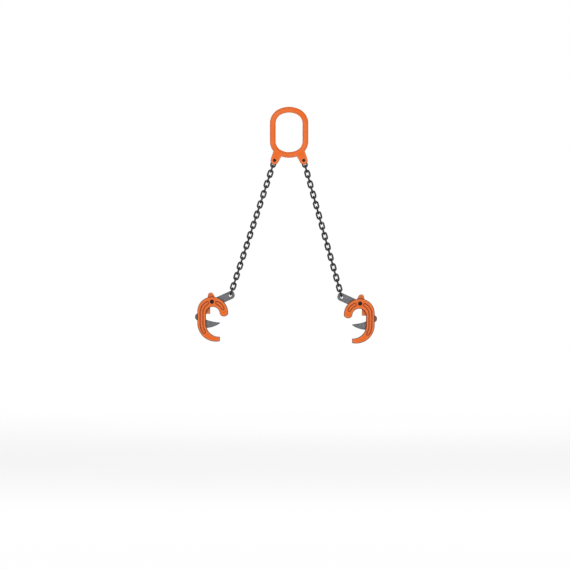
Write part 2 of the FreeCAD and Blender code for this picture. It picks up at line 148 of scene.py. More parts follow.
class ClampBodySizes(bpy.types.PropertyGroup):
    """The cheeks of the clamp body and the pieces between them, from the pivot."""

    thickness: length("Cheek thickness", "Thickness of one cheek", 12)
    slot: length("Slot", "Space between the cheeks", 17)
    top: length("Top", "Height of the crown over the pivot", 22)
    crown_radius: length("Crown radius", "Outer radius from the crown to the jaw", 72)
    shoulder_radius: length("Shoulder radius", "Outer radius from the crown to the back", 65)
    crown_depth: length("Crown depth", "Depth of the crown over the mouth", 45)
    mouth_radius: length("Mouth radius", "Inner radius of the mouth", 31)
    back_straight: length("Back straight", "Straight stretch of the back", 52)
    limb_width: length("Limb width", "Width of the back limb", 38)
    heel_radius: length("Heel radius", "Outer radius from the back to the heel", 83)
    heel_inner_radius: length("Heel inner radius", "Inner radius from the back to the heel", 58)
    heel_depth: length("Heel depth", "Depth of the limb at the heel", 22)
    heel_reach: length("Heel reach", "How far the heel reaches from the pivot", 35.3)
    nose_drop: length("Nose drop", "Depth of the jaw's nose under the mouth's centre", 12)
    edge: length("Edge radius", "Rounding of the cheek's outer edges", 4.5)
    inner_edge: length("Inner edge", "Rounding of the edges that face the slot", 0.6)
    pocket_width: length("Pocket width", "Width of the forged pockets", 15)
    pocket_depth: length("Pocket depth", "Depth of the forged pockets", 3.5)
    pocket_draft: length("Pocket draft", "Slope of a pocket's wall over its depth", 2.2)
    pocket_rim: length("Pocket rim", "Rounding where a pocket meets the face", 1.1)
    pocket_root: length("Pocket root", "Rounding where a pocket's wall meets its floor", 1.3)
    back_pocket_top: angle("Back pocket top", "Angle at which the back pocket ends on the crown", 118)
    back_pocket_end: angle("Back pocket end", "Angle at which the back pocket ends over the heel", 213)
    jaw_pocket_low: angle("Jaw pocket low", "Angle at which the jaw pocket starts", 27)
    jaw_pocket_high: angle("Jaw pocket high", "Angle at which the jaw pocket ends", 66)
    bore_chamfer: length("Bore chamfer", "Chamfer at the mouths of the pivot's bore", 0.6)
    block_edge: length("Block edge", "Rounding of the pieces between the cheeks", 1.3)


class LeverSizes(bpy.types.PropertyGroup):
    """The forged lever, from the pivot."""

    eye_x: length("Eye across", "Distance of the chain eye from the pivot", 81.7)
    eye_z: length("Eye up", "Height of the chain eye over the pivot", 28.4)
    arm_slope: angle("Arm slope", "Slope of the arm", 24.5)
    arm_width: length("Arm width", "Width of the arm", 36)
    eye_reach: length("Eye reach", "How far the arm reaches past its eye", 20)
    eye_corner: length("Eye corner", "Rounding of the arm's upper end", 13)
    eye_thickness: length("Eye thickness", "Thickness of the arm at its eye", 9)
    eye_hole: length("Eye hole", "Diameter of the chain eye", 13)
    eye_flare: length("Eye flare", "Flare of the chain eye at the faces", 3.5)
    eye_thin_length: length("Thin length", "How far the thin end reaches from the eye", 30)
    eye_taper: length("Taper", "Length over which the arm thins", 12)
    thickness: length("Thickness", "Thickness of the lever", 16)
    hub_radius: length("Hub radius", "Radius of the hub", 16)
    tail_radius: length("Tail radius", "Middle radius of the curved tail", 48)
    tail_width: length("Tail width", "Width of the curved tail", 26)
    bulge_radius: length("Bulge radius", "Radius of the round bulge on the tail", 16.9)
    bulge_level: length("Bulge level", "Height of the bulge over the pivot", -67.7)
    toe_reach: length("Toe reach", "Distance of the toe's tip from the pivot", 35.3)
    toe_level: length("Toe level", "Height of the toe's tip over the pivot", -92.5)
    toe_blunt: length("Toe blunt", "Height of the toe's blunt tip", 4)
    keel_run: length("Keel run", "Distance of the toe's lowest point from the tail's outer side", 36)
    keel_level: length("Keel level", "Height of the toe's lowest point over the pivot", -117)
    heel_bow: length("Heel bow", "Outward curve from the bulge to the lowest point", 12.5)
    belly_bow: length("Belly bow", "Outward curve from the lowest point to the tip", 4.3)
    ridge_bow: length("Ridge bow", "Outward curve from the tip to the throat", -1.8)
    throat_run: length("Throat run", "Distance of the throat from the tail's inner side", 14)
    throat_level: length("Throat level", "Height of the throat over the pivot", -82.5)
    throat_top: length("Throat top", "Height at which the throat meets the tail", -65.5)
    throat_bow: length("Throat bow", "Outward curve of the throat", -3.2)
    pivot: length("Pivot", "Diameter of the pivot pin", 14)
    pivot_play: length("Pivot play", "Gap between the lever and its pivot pin", 0.08)
    grain: length("Grain", "Spacing of the forging's mesh", 0.8)
    rounding: whole_number("Rounding", "Smoothing passes that round the edges", 9)


class PivotPinSizes(bpy.types.PropertyGroup):
    """The pivot pin, its washer and its split pin."""

    head: length("Head", "Diameter of the pin's head", 18)
    head_height: length("Head height", "Height of the pin's head", 3)
    chamfer: length("Chamfer", "Chamfer of the pin's two ends", 1)
    washer: length("Washer", "Outer diameter of the washer", 24)
    washer_thickness: length("Washer thickness", "Thickness of the washer", 2.5)
    washer_chamfer: length("Washer chamfer", "Chamfer of the washer's rim", 0.3)
    washer_play: length("Washer play", "Gap between the washer and its pin", 0.05)
    tail: length("Tail", "How far the pin reaches past the split pin", 4)
    wire: length("Split pin", "Diameter of the split pin's hole", 3.2)
    loop: length("Loop", "Radius of the split pin's eye", 3.4)
    proud: length("Proud", "How far the split pin stands out of its hole before its bends", 1.5)
    leg: length("Leg", "Length of the bent legs", 7)
    spread: angle("Spread", "Angle of each bent leg", 30)


class Finishes(bpy.types.PropertyGroup):
    """Colours of the finishes."""

    enamel: colour("Enamel", "Orange enamel on the forgings", "#EE6A14")
    # A painted highlight towards the edges.
    enamel_highlight: colour("Enamel highlight", "Painted highlight of the enamel towards an edge", "#F08A58")
    # Also the painted shade in corners, and on the edge lines there.
    enamel_dark_and_shade: colour("Dark enamel and shade", "Darker enamel in clouds, and painted shade in corners and edge lines", "#B0440A")
    # Scale is also laid on as painted shade that outlines the edges.
    scale: colour("Forging scale and edge shade", "Brown scale where the enamel is rubbed through, also painted shade along the edges", "#5E2C10")
    # On the rim stops the primer also stands for painted shade between the cheeks.
    primer: colour("Primer", "Brown primer where rims and floors have worn the enamel away", "#B07848")
    lever: colour("Lever", "Phosphated steel of the levers", "#6E6F72")
    lever_cloud: colour("Lever clouds", "Darker phosphate in clouds on the levers", "#2E2E30")
    # Also painted shade that outlines the levers' edges.
    lever_scale_and_shade: colour("Lever scale and shade", "Dark scale and painted shade along the levers' edges", "#3E3E41")
    # Painted shade in the levers' corners.
    lever_corner_shade: colour("Lever corner shade", "Painted shade in the levers' corners", "#1E1C1C")
    chain: colour("Chain", "Blackened steel of the chain", "#2C2C2E")
    chain_bloom: colour("Chain bloom", "Brown bloom on the chain's oil film", "#352F2B")
    chain_bright: colour("Bearing steel", "Chain steel where links bear on each other", "#8E8B87")
    weld: colour("Weld", "Grey ring of the links' butt welds", "#4A4C53")
    pin: colour("Pins", "Blackened steel of the pins", "#1C100F")
    pin_brown: colour("Pin patches", "Brown cast in patches on the pins", "#2C1C19")
    pin_bright: colour("Pin edges", "Bare steel along the pins' edges", "#8B8683")
    floor: colour("Floor", "White card of the floor", "#F7F7F7")
    floor_speck: colour("Floor specks", "Fine specks in the floor card", "#E4E4E4")


class StageSizes(bpy.types.PropertyGroup):
    """The floor, the lamps and the camera."""

    floor_drop: length("Floor drop", "Depth of the floor under the hook seat", 1554)
    floor_radius: length("Floor radius", "Radius of the floor", 9000)
    camera_distance: length("Camera distance", "Distance of the camera from the chain legs", 14000)
    pixel: length("Pixel", "Width of one image pixel at the object", 4.46)
    origin_column: number("Column", "Image column of the hook seat", 289.1)
    origin_row: number("Row", "Image row of the hook seat", 112.6)
    ambient: number("Ambient", "Strength of the light from all sides", 0.38)
    key_power: number("Key", "Power of the key lamp in watts", 86.0)
    fill_power: number("Fill", "Power of the fill lamp in watts", 50.0)
    back_power: number("Back", "Power of the lamp behind in watts", 100.0)


SETTINGS = {
    "clamp_master": MasterLinkSizes,
    "clamp_chain": ChainSizes,
    "clamp_body": ClampBodySizes,
    "clamp_lever": LeverSizes,
    "clamp_pins": PivotPinSizes,
    "clamp_finish": Finishes,
    "clamp_stage": StageSizes,
}


# Outlines in the XZ plane


def on(centre, radius, degrees):
    """The point of a circle at an angle from +X towards +Z."""
    a = math.radians(degrees)
    return Vector((centre[0] + radius * math.cos(a), centre[1] + radius * math.sin(a)))


def arc(centre, radius, start, end, count=16):
    """Points along an arc, from just past its start to its end."""
    return [on(centre, radius, start + (end - start) * (k + 1) / count) for k in range(count)]


def midway(a, b):
    """The point half way between two others."""
    return (Vector(a) + Vector(b)) / 2


def bow(start, end, bulge, count=14):
    """Points along an arc from start to end that bulges to its right, or to its left if negative."""
    start = Vector(start)
    chord = Vector(end) - start
    half = chord.length / 2
    right = Vector((chord.y, -chord.x)).normalized()
    radius = (half**2 + bulge**2) / (2 * bulge)
    centre = start + chord / 2 + right * (bulge - radius)
    first = math.degrees(math.atan2(start.y - centre.y, start.x - centre.x))
    turn = 4 * math.degrees(math.atan(bulge / half))
    return arc(centre, abs(radius), first, first + turn, count)


def touch(centre, radius, apex, side):
    """The angle at which a line from apex touches a circle, on its side 1 or -1."""
    dx = apex[0] - centre[0]
    dz = apex[1] - centre[1]
    return math.degrees(math.atan2(dz, dx)) + side * math.degrees(math.acos(radius / math.hypot(dx, dz)))


# Meshes

# Points closer than this are one
SAME_POINT = 0.002 * MM
# The least angle of a sharp edge, in degrees
SHARP = 35


def piece_from(name, bm, transform=Matrix.Identity(4)):
    """A new object from a bmesh, with its normals outwards."""
    bm.transform(transform)
    bmesh.ops.recalc_face_normals(bm, faces=bm.faces)
    mesh = bpy.data.meshes.new(name)
    bm.to_mesh(mesh)
    bm.free()
    piece = bpy.data.objects.new(name, mesh)
    bpy.context.scene.collection.objects.link(piece)
    return piece


def bridge(bm, rings, closed):
    """Quads between rings of as many points. The first and last rings are capped, or joined if closed."""
    rows = [[bm.verts.new(p) for p in ring] for ring in rings]
    pairs = list(zip(rows, rows[1:]))
    if closed:
        pairs.append((rows[-1], rows[0]))
    for here, there in pairs:
        for k in range(len(here)):
            n = (k + 1) % len(here)
            bm.faces.new((here[k], here[n], there[n], there[k]))
    if not closed:
        bm.faces.new(rows[0])
        bm.faces.new(rows[-1])
    return rows


def loft(name, sections, closed=False):
    """A solid through outlines in the XZ plane, each given with its depth y."""
    bm = bmesh.new()
    bridge(bm, [[Vector((p[0], y, p[1])) for p in points] for points, y in sections], closed)
    return piece_from(name, bm)


def lathe(name, profile, at=(0.0, 0.0), count=48, closed=False):
    """A solid turned about Y from pairs of radius and depth, or a ring if they close."""
    return loft(name, [(arc(at, radius, 0, 360, count), y) for radius, y in profile], closed)


def tube(bm, path, radii, sides, closed):
    """A round bar along a path that lies square to Y, with one radius for each of its points."""
    rings = []
    across = Vector((0, 1, 0))
    angles = [2 * math.pi * i / sides for i in range(sides)]
    for k, here in enumerate(path):
        before = path[k - 1] if closed or k else here
        after = path[(k + 1) % len(path)] if closed or k + 1 < len(path) else here
        out = (after - before).cross(across).normalized()
        rings.append([here + radii[k] * (out * math.cos(a) + across * math.sin(a)) for a in angles])
    return bridge(bm, rings, closed)


def applied(piece):
    """Makes a piece's modifiers part of its mesh."""
    graph = bpy.context.evaluated_depsgraph_get()
    graph.update()
    mesh = bpy.data.meshes.new_from_object(piece.evaluated_get(graph), depsgraph=graph)
    old = piece.data
    piece.modifiers.clear()
    piece.data = mesh
    bpy.data.meshes.remove(old)
    return piece


def carved(piece, cutters):
    """A piece with other solids cut out of it. The cutters are used up."""
    for cutter in cutters:
        cut = piece.modifiers.new("cut", "BOOLEAN")
        cut.operation = "DIFFERENCE"
        cut.solver = "EXACT"
        cut.object = cutter
    applied(piece)
    discard(cutters)
    return piece


def discard(pieces):
    """Removes pieces that were only tools."""
    for piece in pieces:
        mesh = piece.data
        bpy.data.objects.remove(piece)
        bpy.data.meshes.remove(mesh)


def forged(name, parts, grain, passes):
    """One forging from overlapping solids: joined, meshed at an even spacing, and smoothed at its edges."""
    bm = bmesh.new()
    for part in parts:
        bm.from_mesh(part.data)
    discard(parts)
    piece = piece_from(name, bm)
    remesh = piece.modifiers.new("join", "REMESH")
    remesh.mode = "VOXEL"
    remesh.voxel_size = grain
    smooth = piece.modifiers.new("smooth", "SMOOTH")
    smooth.factor = 0.5
    smooth.iterations = passes
    return applied(piece)


def shaded(piece, sharp=SHARP):
    """Smooth shading, with edges over an angle in degrees kept crisp."""
    piece.data.shade_smooth()
    piece.data.set_sharp_from_angle(angle=math.radians(sharp))
    weighted = piece.modifiers.new("flat faces", "WEIGHTED_NORMAL")
    weighted.keep_sharp = True
    return applied(piece)


def dress(piece, node, slot, finish=None):
    """Gives a finished piece its material, body and slot, and hides the frame's node that it stands for."""
    piece.data.materials.clear()
    piece.data.materials.append(material_for(finish or slot))
    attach(piece, next(body for body, nodes in BODIES.items() if node in nodes))
    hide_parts(node)


def placed(piece, side):
    """A clamp piece, modelled for the left side at the pivot, moved to its own side."""
    if side == "right":
        mirror(piece, (1, 0, 0))
    piece.data.transform(Matrix.Translation(joint_at(side + "_clamp_grip")))
    return piece


def mirror(piece, axis):
    """Turns a piece into its mirror image along an axis."""
    piece.data.transform(Matrix.Scale(-1, 4, axis))
    piece.data.flip_normals()


# Materials

# Ranges ease in and out, so that no pattern ends in a hard line
SMOOTH = {"interpolation_type": "SMOOTHSTEP"}
# The chain's own marks: how far a crown bears on its neighbour, and where a link is welded
CHAIN_MARKS = ("bearing", "weld")
# Bands of Blender's wave texture in one unit of its scale
WAVE_BANDS = 20 / math.tau


def add_node(tree, kind, inputs=(), out=0, **settings):
    """Adds a node and gives one of its outputs. Inputs come in order, or by name or number in a dict."""
    node = tree.nodes.new("ShaderNode" + kind)
    for name, value in settings.items():
        setattr(node, name, value)
    for name, value in inputs.items() if isinstance(inputs, dict) else enumerate(inputs):
        if isinstance(value, bpy.types.NodeSocket):
            tree.links.new(value, node.inputs[name])
        else:
            node.inputs[name].default_value = value
    return node.outputs[out] if node.outputs else None


def per_metre(millimetres):
    """The scale at which a texture repeats once in a length."""
    return 1 / (millimetres * MM)


def patches(tree, place, grain, detail=3.0, low=0.3, high=0.7, least=0.0, most=1.0, roughness=0.5):
    """Soft patches about as wide as a grain in mm: least where their noise is low, most where it is high."""
    inputs = {"Vector": place, "Scale": per_metre(grain), "Detail": detail, "Roughness": roughness}
    noise = add_node(tree, "TexNoise", inputs)
    return add_node(tree, "MapRange", (noise, low, high, least, most), **SMOOTH)


def relief(tree, place, grain, detail, strength, height, under=None):
    """The normal of a skin with bumps of a grain and height in mm, over another normal if one is given."""
    bumps = add_node(tree, "TexNoise", {"Vector": place, "Scale": per_metre(grain), "Detail": detail})
    inputs = {"Height": bumps, "Strength": strength, "Distance": height * MM}
    if under is not None:
        inputs["Normal"] = under
    return add_node(tree, "Bump", inputs)


def coats(tree, skin, *layers):
    """A skin with tones laid over it one by one, each where its mask says."""
    for mask, tone in layers:
        skin = add_node(tree, "Mix", {0: mask, 6: skin, 7: tone}, 2, data_type="RGBA")
    return skin


def edge_mask(tree, reach, low, high):
    """Edges within reach in mm, by how far a rounded normal leaves the true one: 0 at low, 1 at high."""
    bevel = add_node(tree, "Bevel", {"Radius": reach * MM}, samples=4)
    true_normal = add_node(tree, "NewGeometry", out="Normal")
    along = add_node(tree, "VectorMath", (bevel, true_normal), "Value", operation="DOT_PRODUCT")
    return add_node(tree, "MapRange", (along, 1 - low, 1 - high), **SMOOTH)


# Used to lay painted shade, together with worn scale, on the flanks of rounded edges.
def rolled_edge(tree):
    """One on rounded edges and drafted walls, zero on faces square to Y or along it."""
    normal = add_node(tree, "TexCoord", out="Normal")
    depth = add_node(tree, "SeparateXYZ", (normal,), "Y")
    facing = add_node(tree, "Math", (depth,), operation="ABSOLUTE")
    off_face = add_node(tree, "MapRange", (facing, 0.98, 0.88), **SMOOTH)
    off_wall = add_node(tree, "MapRange", (facing, 0.05, 0.25), **SMOOTH)
    return add_node(tree, "Math", (off_face, off_wall), operation="MULTIPLY")


def enamel_on_forging(tree, place, tones, rolled=False, bared=0.0):
    """Drop-forged steel under sprayed alkyd enamel, rubbed at its edges and bared to primer by a share."""
    # A warm, half-gloss skin over a rough forging: soft waves, a paler band towards the edges as a painted
    # highlight, brown scale where the edges are rubbed through, which also outlines them as painted shade, and
    # painted shade in the corners.
    clouds = patches(tree, place, grain=38, low=0.35, high=0.65)
    skin = coats(tree, tones.enamel, (0.10, tones.enamel_dark_and_shade), (clouds, tones.enamel))
    if bared:
        bare = patches(tree, place, grain=8, least=bared - 0.15, most=bared + 0.15)
        skin = coats(tree, skin, (bare, tones.primer))
    edges = edge_mask(tree, reach=5, low=0.006, high=0.08)
    if rolled:
        edges = add_node(tree, "Math", (edges, rolled_edge(tree)), operation="MAXIMUM")
    kept = patches(tree, place, grain=5, detail=4.0, high=0.60, most=0.15, roughness=0.6)
    # The dark edge line is partly scale where the enamel is rubbed through and partly painted shade that outlines
    # each edge; rolled finishes add the sloping flanks of rounded edges.
    worn = add_node(tree, "Math", (edges, kept), operation="SUBTRACT")
    rubbed = add_node(tree, "MapRange", (worn, 0.1, 0.8, 0.0, 0.95), **SMOOTH)
    # Ambient occlusion darkens the enamel in corners, pockets and between the cheeks: painted shade.
    free = add_node(tree, "AmbientOcclusion", {"Distance": 12 * MM}, "AO", samples=6)
    open_face = add_node(tree, "MapRange", (free, 0.90, 1.0), **SMOOTH)
    corner_shade = add_node(tree, "MapRange", (free, 0.45, 0.88, 1.0, 0.0), **SMOOTH)
    line = coats(tree, tones.enamel_dark_and_shade, (open_face, tones.scale))
    # A paler band within 12 mm of each edge: a painted highlight.
    thin = edge_mask(tree, reach=12, low=0.0, high=0.06)
    layers = [(thin, tones.enamel_highlight), (rubbed, line), (corner_shade, tones.enamel_dark_and_shade)]
    waves = relief(tree, place, grain=9, detail=2.0, strength=0.35, height=0.5)
    return {
        "Base Color": coats(tree, skin, *layers),
        "Roughness": patches(tree, place, grain=14, least=0.46, most=0.60),
        "IOR": 1.5,
        "Specular IOR Level": 0.25,
        "Normal": relief(tree, place, grain=1.6, detail=1.0, strength=0.22, height=0.12, under=waves),
    }


def phosphated_forging(tree, place, tones):
    """Heat-treated alloy forging, shot-blasted and phosphated."""
    # Dull grey crystals with a fine blasted grain, darker scale along the edges that also outlines them as painted
    # shade, and painted shade in the corners.
    clouds = patches(tree, place, grain=26, detail=4.0)
    worn = edge_mask(tree, reach=8, low=0.004, high=0.05)
    edges = add_node(tree, "Math", (worn, rolled_edge(tree)), operation="MAXIMUM")
    # Darker along the edges: partly scale, partly painted shade that outlines them.
    scaled_and_shaded = add_node(tree, "MapRange", (edges, 0.0, 1.0, 0.0, 0.8), **SMOOTH)
    # Ambient occlusion darkens the corners: painted shade.
    free = add_node(tree, "AmbientOcclusion", {"Distance": 8 * MM}, "AO", samples=6)
    corner_shade = add_node(tree, "MapRange", (free, 0.30, 0.90, 0.75, 0.0), **SMOOTH)
    skin = coats(tree, tones.lever, (0.30, tones.lever_cloud), (clouds, tones.lever))
    waves = relief(tree, place, grain=11, detail=2.0, strength=0.4, height=0.6)
    return {
        "Base Color": coats(tree, skin, (scaled_and_shaded, tones.lever_scale_and_shade), (corner_shade, tones.lever_corner_shade)),
        "Metallic": 0.55,
        "Roughness": patches(tree, place, grain=6, least=0.48, most=0.64),
        "Normal": relief(tree, place, grain=1.3, detail=2.0, strength=0.35, height=0.15, under=waves),
    }


def oiled_chain_steel(tree, place, tones):
    """Quenched alloy chain steel, blackened in oil."""
    # Near-black oil film with brown bloom, bright steel where the crowns bear, and a grey ring at each weld.
    bloom = patches(tree, place, grain=9, detail=4.0, low=0.45, high=0.75)
    bearing, weld = [add_node(tree, "Attribute", out="Fac", attribute_name=mark) for mark in CHAIN_MARKS]
    scuffs = patches(tree, place, grain=2.2, high=0.6)
    bright = add_node(tree, "Math", (bearing, scuffs), operation="MULTIPLY")
    layers = [(bloom, tones.chain_bloom), (bright, tones.chain_bright), (weld, tones.weld)]
    return {
        "Base Color": coats(tree, tones.chain, *layers),
        "Metallic": 0.85,
        "Roughness": add_node(tree, "MapRange", (bloom, 0.0, 1.0, 0.30, 0.48), **SMOOTH),
        "Normal": relief(tree, place, grain=1.2, detail=2.0, strength=0.3, height=0.12),
    }


def blackened_turned_steel(tree, place, tones):
    """Turned pin steel with a black oxide finish."""
    # Almost black with a brown cast and faint turning rings that catch thin highlights. The rings are drawn
    # 1.78 mm apart, coarser than real ones, so that they show.
    brown = patches(tree, place, grain=7, low=0.35)
    edges = edge_mask(tree, reach=0.6, low=0.02, high=0.30)
    bright = add_node(tree, "MapRange", (edges, 0.2, 0.9, 0.0, 0.25), **SMOOTH)
    inputs = {"Vector": place, "Scale": per_metre(1.78) / WAVE_BANDS, "Distortion": 0.6, "Detail": 1.0}
    rings = add_node(tree, "TexWave", inputs, "Fac", bands_direction="Y")
    return {
        "Base Color": coats(tree, tones.pin, (brown, tones.pin_brown), (bright, tones.pin_bright)),
        "Metallic": 0.8,
        "Roughness": 0.42,
        "Normal": add_node(tree, "Bump", {"Height": rings, "Strength": 0.15, "Distance": 0.05 * MM}),
    }


RECIPES = {
    # The master link: whole enamel, with wear and painted edge shade at its few edges
    "orange_paint": ("Sprayed enamel on drop-forged steel", enamel_on_forging, {}),
    # The clamp bodies: each edge and pocket is drawn in dark brown, partly as scale on clamps that knock against
    # loads and partly as painted shade that outlines them
    "rubbed_shaded_paint": ("Sprayed enamel rubbed and shaded at its edges", enamel_on_forging, {"rolled": True}),
    # The lugs, which the clamps rest on when they are laid down: a duller salmon orange
    "scuffed_paint": ("Sprayed enamel scuffed by floors", enamel_on_forging, {"rolled": True, "bared": 0.4}),
    # The rim stops, which every rim strikes: tan primer with traces of orange, which is also painted shade where
    # they sit between the cheeks
    "worn_shaded_paint": ("Sprayed enamel worn to its primer and shaded", enamel_on_forging, {"rolled": True, "bared": 0.85}),
    "lever_steel": ("Phosphated shot-blasted alloy steel", phosphated_forging, {}),
    "chain_steel": ("Oil-blackened alloy chain steel", oiled_chain_steel, {}),
    "pin_steel": ("Black-oxide turned steel", blackened_turned_steel, {}),
}


def new_material(name):
    """An empty node material, its tree and the place on its piece."""
    material = bpy.data.materials.new(name)
    material.use_nodes = True
    tree = material.node_tree
    tree.nodes.clear()
    return material, tree, add_node(tree, "TexCoord", out="Object")


def material_for(finish):
    """The material of a finish, made once."""
    name, recipe, wear = RECIPES[finish]
    if name in bpy.data.materials:
        return bpy.data.materials[name]
    material, tree, place = new_material(name)
    surface = add_node(tree, "BsdfPrincipled", recipe(tree, place, bpy.context.scene.clamp_finish, **wear))
    add_node(tree, "OutputMaterial", {"Surface": surface})
    return material


# Master link

# The dish in the head of a turned pin: its floor and its mouth as shares of the head's radius, and its depth
DISH_FLOOR = 0.30
DISH_MOUTH = 0.45
DISH_DEPTH = 0.4 * MM
# The taper at the ends of a cross pin: where it starts along half the pin, and the share of radius it leaves
TAPER_START = 0.94
TAPER_END = 0.75


def corner_of(sizes):
    """The centre of the bar's upper right corner, and the angle at which that corner meets the crown."""
    across = sizes.inner_width / 2 - sizes.corner_radius
    reach = sizes.crown_radius - sizes.corner_radius
    lift = math.acos(across / reach)
    return Vector((across, reach * math.sin(lift) - sizes.crown_radius)), math.degrees(lift)


def bar_path(sizes):
    """Centre line of the master link's bar, in the XZ plane."""
    (side, top), lift = corner_of(sizes)
    r = sizes.corner_radius + sizes.bar / 2
    crown = sizes.crown_radius + sizes.bar / 2
    bottom = -sizes.inner_height - top
    upper = (0.0, -sizes.crown_radius)
    lower = (0.0, -sizes.inner_height + sizes.crown_radius)
    points = arc((side, top), r, 0, lift)
    points += arc(upper, crown, lift, 180 - lift, 40)
    points += arc((-side, top), r, 180 - lift, 180)
    points += arc((-side, bottom), r, 180, 180 + lift)
    points += arc(lower, crown, 180 + lift, 360 - lift, 40)
    return points + arc((side, bottom), r, 360 - lift, 360)


def ear_outline(sizes, pin, sign):
    """One clevis ear, from the middle of the bar to its rounded tip."""
    (side, top), _ = corner_of(sizes)
    corner = (sign * side, -sizes.inner_height - top)
    middle = sizes.corner_radius + sizes.bar / 2
    root = middle + sizes.bar / 2 - sizes.root_depth
    high = 270 + sign * math.degrees(sizes.root_high)
    low = 270 + sign * math.degrees(sizes.root_low)
    outer = on(corner, root, high)
    inner = on(corner, root, low)
    first = touch(pin, sizes.ear_radius, outer, -sign)
    last = touch(pin, sizes.ear_radius, inner, sign)
    turn = -((first - last) % 360) if sign > 0 else (last - first) % 360
    tip = [on(pin, sizes.ear_radius, first)] + arc(pin, sizes.ear_radius, first, first + turn, 30)
    return [outer] + tip + [inner, on(corner, middle, low)] + arc(corner, middle, low, high, 8)


def ear_tools(sizes, chain, side):
    """What is cut out of an ear: the slot for the first link, and the bore of its pin."""
    pin = joint_at(side + "_leg_swing").xz
    outward = SIDES[side]
    swing = chain.inner_width / 2 + chain.bar + sizes.slot_clearance
    clear = 2 * swing
    half_slot = sizes.ear_slot / 2

    def at(out, up):
        return pin + Vector((outward * out, up))

    # Rounded over the inner side, and open to the outer side and below
    outline = [at(clear, swing), at(0, swing)] + arc(pin, swing, 90, 90 + outward * 90, 16)
    outline += [at(-clear, 0), at(-clear, -clear), at(clear, -clear)]
    slot = loft("slot", [(outline, -half_slot), (outline, half_slot)])
    face = sizes.ear_thickness / 2
    radius = sizes.pin / 2
    lip = sizes.bore_chamfer
    profile = [(radius, -face - lip), (radius, face - lip), (radius + 2 * lip, face + lip)]
    return [slot, lathe("bore", profile, pin, 40)]


def headed_pin(name, radius, head, head_height, chamfer, seat, end, at=(0.0, 0.0)):
    """A turned pin along Y: a dished head in front of the face at depth seat, and a shaft to depth end."""
    front = seat - head_height
    profile = [
        (head * DISH_FLOOR, front + DISH_DEPTH),
        (head * DISH_MOUTH, front),
        (head - chamfer, front),
        (head, front + chamfer),
        (head, seat),
        (radius, seat),
        (radius, end - chamfer),
        (radius - chamfer, end),
    ]
    return shaded(lathe(name, profile, at), 30)


class BuildMasterLink(bpy.types.Operator):
    """Builds the forged master link with its two clevis ears"""

    bl_idname = "object.clamp_master_link"
    bl_label = "Master Link"

    def execute(self, context):
        sizes = context.scene.clamp_master
        bm = bmesh.new()
        path = [Vector((p.x, 0, p.y)) for p in bar_path(sizes)]
        tube(bm, path, [sizes.bar / 2] * len(path), 48, closed=True)
        parts = [piece_from("bar", bm)]
        half = sizes.ear_thickness / 2
        for side, sign in SIDES.items():
            plan = ear_outline(sizes, joint_at(side + "_leg_swing").xz, sign)
            parts.append(loft("ear", [(plan, -half), (plan, half)]))
        link = forged("master_link_forging", parts, sizes.grain, sizes.blend)
        tools = [tool for side in SIDES for tool in ear_tools(sizes, context.scene.clamp_chain, side)]
        shaded(carved(link, tools), 40)
        dress(link, "master_link", "orange_paint")
        return {"FINISHED"}


class BuildEarPins(bpy.types.Operator):
    """Builds the load pins of the ears and the cross pins that lock them"""

    bl_idname = "object.clamp_ear_pins"
    bl_label = "Ear Pins"

    def execute(self, context):
        sizes = context.scene.clamp_master
        face = sizes.ear_thickness / 2
        turned = (sizes.pin / 2, sizes.pin_head / 2, sizes.pin_head_height, sizes.pin_chamfer)
        low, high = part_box("ear_lock_pins")
        middle = (low + high) / 2
        half = max(abs(low.x), abs(high.x)) - abs(joint_at("left_leg_swing").x)
        radius = sizes.lock_pin / 2
        radii = [radius * TAPER_END, radius, radius, radius * TAPER_END]
        locks = bmesh.new()
        for side in SIDES:
            at = joint_at(side + "_leg_swing").xz
            pin = headed_pin(side + "_load_pin", *turned, -face, face + sizes.pin_proud, at)
            dress(pin, side + "_ear_pin", "pin_steel")
            steps = (-1, -TAPER_START, TAPER_START, 1)
            path = [Vector((at.x + half * t, middle.y, middle.z)) for t in steps]
            tube(locks, path, radii, 20, closed=False)
        lock = shaded(piece_from("ear_cross_pins", locks), 50)
        dress(lock, "ear_lock_pins", "pin_steel")
        return {"FINISHED"}


# Chain

# How fast a weld's swelling fades from its middle
WELD_FADE = 1.5
# How far round a crown bears on its neighbour, as a share of the crown's radius, and how sharply that starts
BEARING_REACH = 0.35
BEARING_EDGE = 1.6


def link_path(sizes, top, bottom):
    """Centre line of a link in the XZ plane, with closer points on the side that holds the butt weld."""
    crown = (sizes.inner_width + sizes.bar) / 2
    upper = (0.0, top - crown)
    lower = (0.0, bottom + crown)
    middle = (upper[1] + lower[1]) / 2
    points = [Vector((crown, middle + sizes.weld_length * k / 3)) for k in range(-4, 5)]
    points.append(Vector((crown, upper[1])))
    points += arc(upper, crown, 0, 180, sizes.crown_points)
    points += [Vector((-crown, middle)), Vector((-crown, lower[1]))]
    return points + arc(lower, crown, 180, 360, sizes.crown_points), middle


def chain_link(bm, sizes, top, bottom, to_leg, marks):
    """Adds one welded link to a bmesh, and marks where it bears and where it is welded."""
    points, middle = link_path(sizes, top, bottom)
    crown = (sizes.inner_width + sizes.bar) / 2
    swell = [0.0] * len(points)
    for k, p in enumerate(points):
        if p.x > crown - SAME_POINT:
            swell[k] = math.exp(-WELD_FADE * ((p.y - middle) / sizes.weld_length) ** 2)
    radii = [sizes.bar / 2 + sizes.weld_height * s for s in swell]
    path = [Vector((p.x, 0, p.y)) for p in points]
    rows = tube(bm, path, radii, sizes.bar_points, closed=True)
    bearing, weld = marks
    for p, s, row in zip(points, swell, rows):
        end, up = (top, 1) if p.y > middle else (bottom, -1)
        near = max(0.0, 1 - abs(p.y - end) / (BEARING_REACH * crown))
        for vert in row:
            inward = up * (end - vert.co.z) / (sizes.bar / 2)
            vert[bearing] = max(0.0, min(1.0, near * BEARING_EDGE * inward))
            vert[weld] = s
    bmesh.ops.transform(bm, matrix=to_leg, verts=[vert for row in rows for vert in row])


